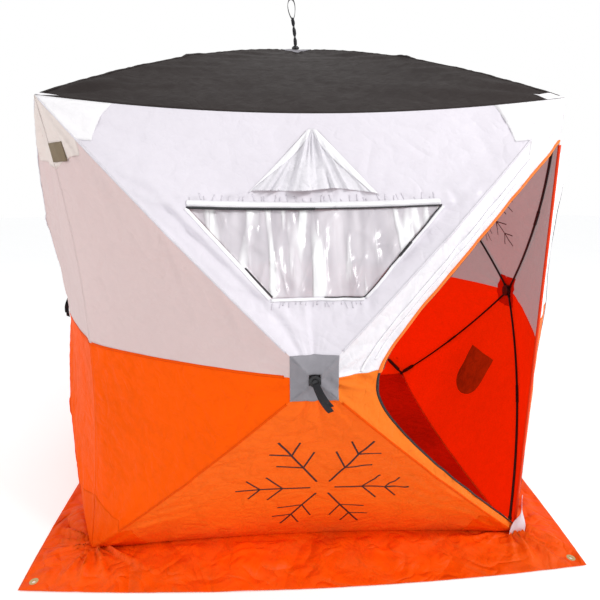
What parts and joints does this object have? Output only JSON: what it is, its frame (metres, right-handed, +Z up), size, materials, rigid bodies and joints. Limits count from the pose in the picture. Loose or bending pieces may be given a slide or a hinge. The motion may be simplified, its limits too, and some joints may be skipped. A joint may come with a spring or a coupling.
{
  "type": "pop-up ice fishing hut",
  "caption": "Square pop-up ice fishing hut: white and orange walls and a charcoal roof on bowed poles with hubs, with a zip door standing open, a window, a hooded vent and a snow skirt.",
  "frame": {"origin": "on the ground at the middle of the square floor", "axes": "+Z up; the front wall with the window and the doorway faces -Y; +X to the right seen from the front"},
  "size_m": [2.4981, 2.4702, 2.3183],
  "materials": {
    "cloth_white": "coated polyester cloth, satin",
    "cloth_orange": "coated polyester cloth, satin",
    "cloth_charcoal": "coated polyester cloth, satin",
    "clear_film": "clear creased vinyl film",
    "binding_white": "bias tape",
    "binding_black": "rolled hem",
    "zip_black": "coil zip on woven tape",
    "mesh_black": "fine netting",
    "patch_grey": "heavy coated cloth",
    "patch_white": "heavy coated cloth",
    "patch_orange": "heavy coated cloth",
    "tag_olive": "woven tag",
    "pocket_red": "netting",
    "pole_black": "glass fibre rod",
    "hub_plastic": "moulded nylon",
    "webbing_black": "woven webbing",
    "eyelet_brass": "pressed eyelet"
  },
  "bodies": {
    "shelter": {"front_panel_top": "cloth_white", "front_panel_bottom": "cloth_orange", "front_left_upper": "cloth_white", "front_left_lower": "cloth_orange", "door_frame_upper": "cloth_white", "door_frame_lower": "cloth_orange", "right_wall_upper": "cloth_white", "right_wall_lower": "cloth_orange", "back_wall_upper": "cloth_white", "back_wall_lower": "cloth_orange", "left_wall_upper": "cloth_white", "left_wall_lower": "cloth_orange", "roof_cover": "cloth_charcoal", "window_film": "clear_film", "window_binding": "binding_white", "window_zip": "zip_black", "vent_mesh": "mesh_black", "vent_hood": "cloth_white", "hub_patches": "patch_grey", "front_poles": "pole_black", "right_poles": "pole_black", "back_poles": "pole_black", "left_poles": "pole_black", "roof_poles": "pole_black", "wall_hubs": "hub_plastic", "roof_hub": "hub_plastic", "top_corner_joints": "hub_plastic", "corner_feet": "hub_plastic", "corner_patches_upper": "patch_white", "corner_patches_lower": "patch_orange", "corner_tag": "tag_olive", "skirt_front": "cloth_orange", "skirt_right": "cloth_orange", "skirt_back": "cloth_orange", "skirt_left": "cloth_orange", "skirt_eyelets": "eyelet_brass", "ground_sheet": "cloth_orange", "pull_straps": "webbing_black", "roof_strap": "webbing_black", "wall_pocket": "pocket_red", "door_zip": "zip_black"},
    "door": {"door_panel_upper": "cloth_white", "door_panel_lower": "cloth_orange", "door_hem": "binding_black", "door_edge_zip": "zip_black"}
  },
  "joints": [
    {"name": "door_swing", "type": "hinge", "parent": "shelter", "child": "door", "pos_m": [0.875, -0.875, 0.8], "axis": [0, 0, 1], "range_deg": [-215, 0]}
  ]
}
